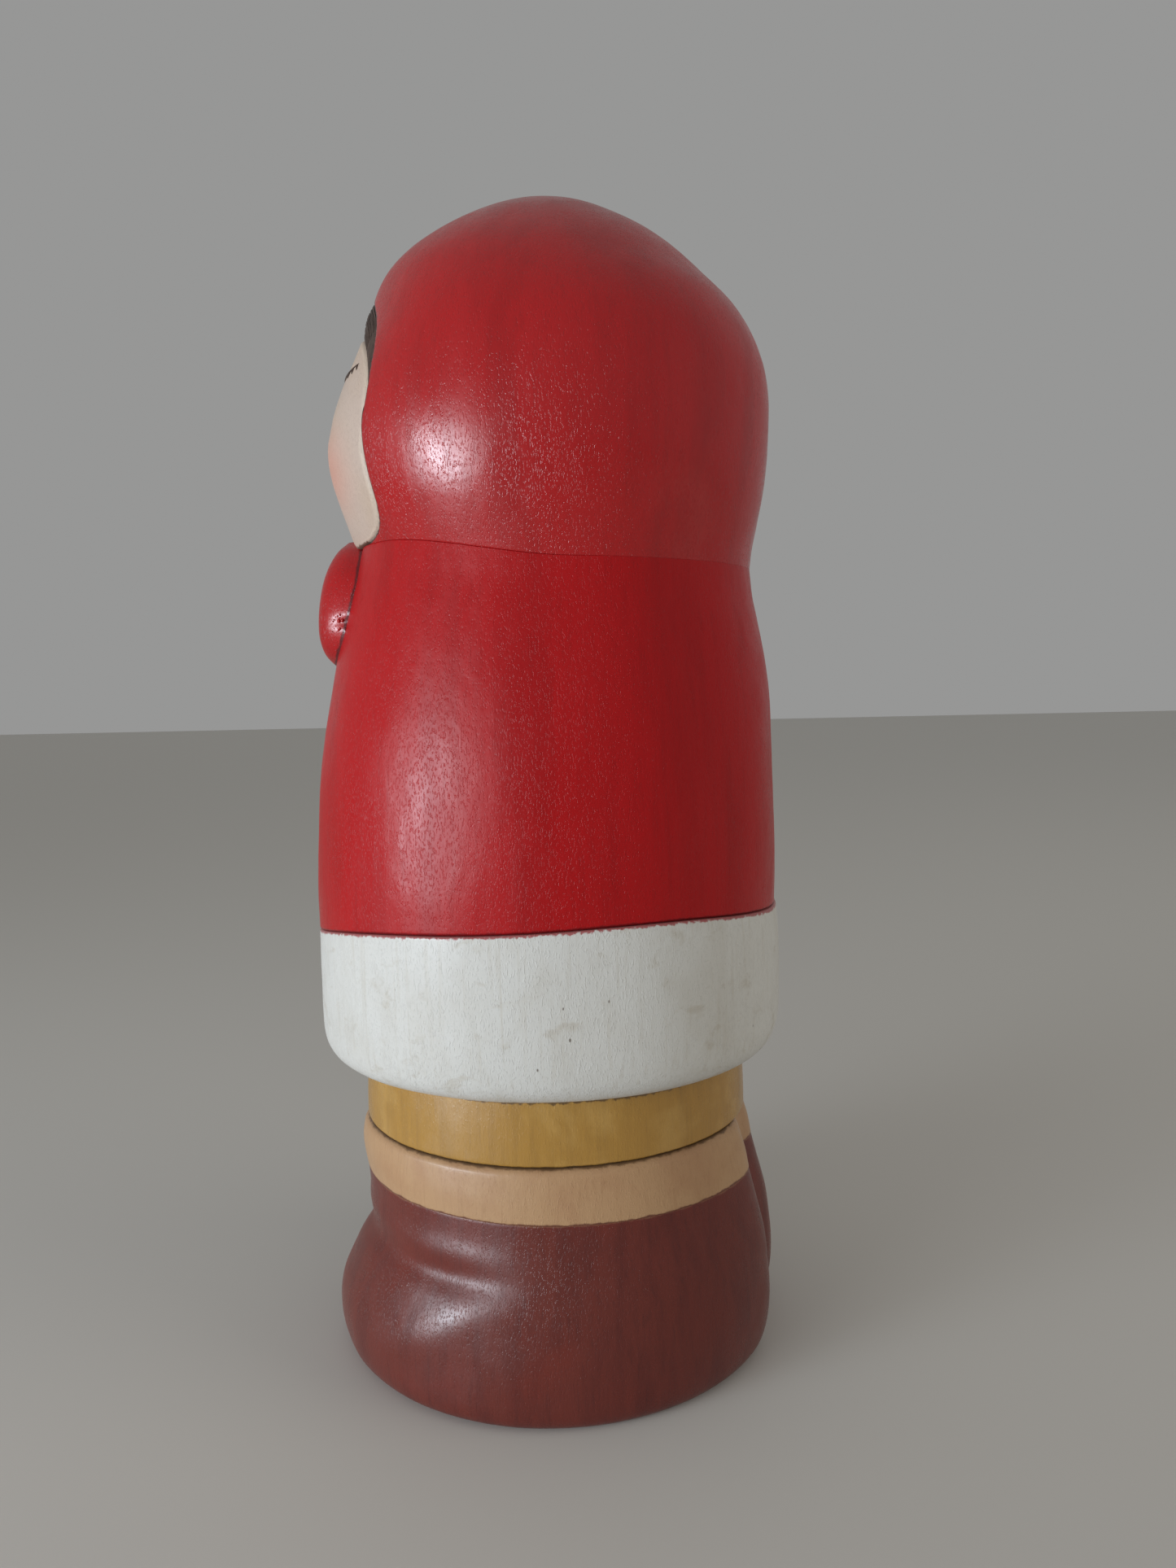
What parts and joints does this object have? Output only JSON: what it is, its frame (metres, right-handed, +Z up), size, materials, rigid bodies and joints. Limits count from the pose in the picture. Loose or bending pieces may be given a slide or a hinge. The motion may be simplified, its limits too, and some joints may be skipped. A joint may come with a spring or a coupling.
{
  "type": "carved wooden gnome figurine",
  "caption": "Hand-carved painted wooden gnome with a hooded red coat, white hem band, mustard skirt and dark boots, standing free as a shelf ornament.",
  "frame": {"origin": "middle of the bounding box's footprint, on the surface that the boots stand on", "axes": "+Z up, the figure faces -Y, its own left side is +X"},
  "size_m": [0.0958, 0.1044, 0.25],
  "materials": {
    "red_paint": "hand-brushed deep red paint under a semi-gloss clear varnish, fine brush bristle marks and pinholes",
    "face_paint": "matte cream flesh-tone paint with a soft pink blush on the cheeks and fine drawn dark lashes",
    "hair_paint": "matte dark brown paint with streaks",
    "white_paint": "off-white semi-gloss paint over wood, small pinholes and faint warm stains",
    "mustard_paint": "mustard wood stain with visible vertical grain, satin varnish",
    "tan_paint": "tan paint on wood, satin varnish, slightly ragged lower edge",
    "boot_paint": "dark red-brown stain with vertical grain under a semi-gloss varnish",
    "bare_wood": "plain unpainted beech dowel"
  },
  "bodies": {
    "root": {"hood": "red_paint", "face": "face_paint", "hair_fringe": "hair_paint", "coat": "red_paint", "left_mitten": "red_paint", "right_mitten": "red_paint", "fur_trim": "white_paint", "skirt": "mustard_paint", "left_cuff": "tan_paint", "right_cuff": "tan_paint", "left_boot": "boot_paint", "right_boot": "boot_paint", "neck_dowel": "bare_wood", "waist_dowel": "bare_wood", "left_leg_dowel": "bare_wood", "right_leg_dowel": "bare_wood"}
  },
  "joints": []
}
